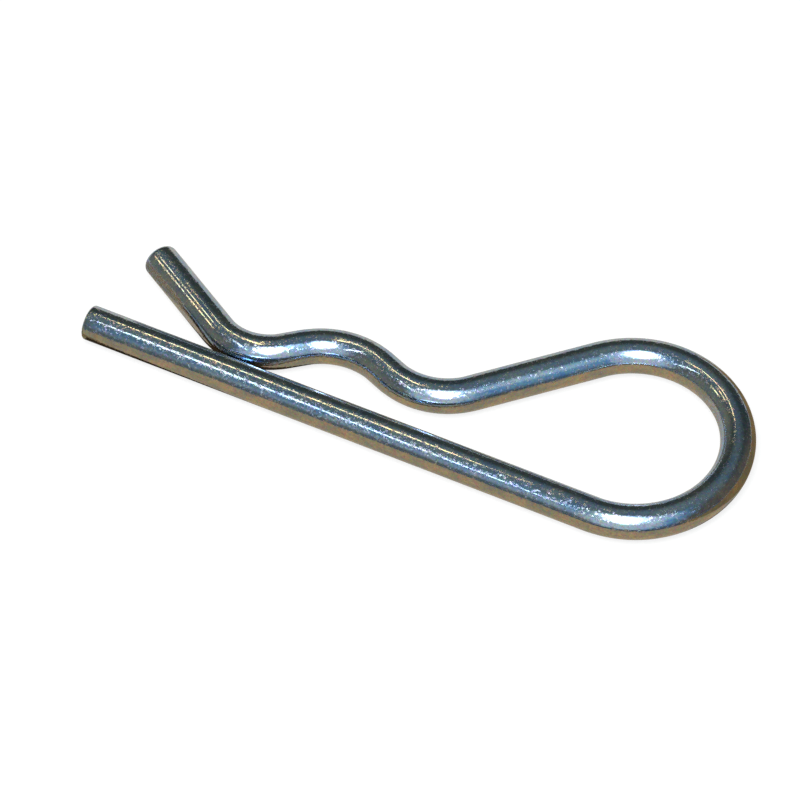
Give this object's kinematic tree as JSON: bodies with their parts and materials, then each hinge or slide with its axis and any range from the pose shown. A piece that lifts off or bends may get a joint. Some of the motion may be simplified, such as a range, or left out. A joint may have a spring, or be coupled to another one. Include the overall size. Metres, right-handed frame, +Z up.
{
  "type": "hitch r clip pin",
  "caption": "Hitch R clip of bent spring wire: a straight leg that goes through a shaft's cross hole, a round loop, and a sprung arm that closes over the shaft.",
  "frame": {"origin": "middle of the bounding box, on the surface that the clip lies on", "axes": "+X along the straight leg from its free end to the loop, +Y from the leg to the sprung arm, +Z up, square to the plane of the wire"},
  "size_m": [0.075, 0.027, 0.004],
  "materials": {
    "zinc_plated_wire": "bright zinc plate with a faint blue and straw passivation, on drawn spring steel wire"
  },
  "bodies": {
    "root": {"r_clip": "zinc_plated_wire"}
  },
  "joints": []
}
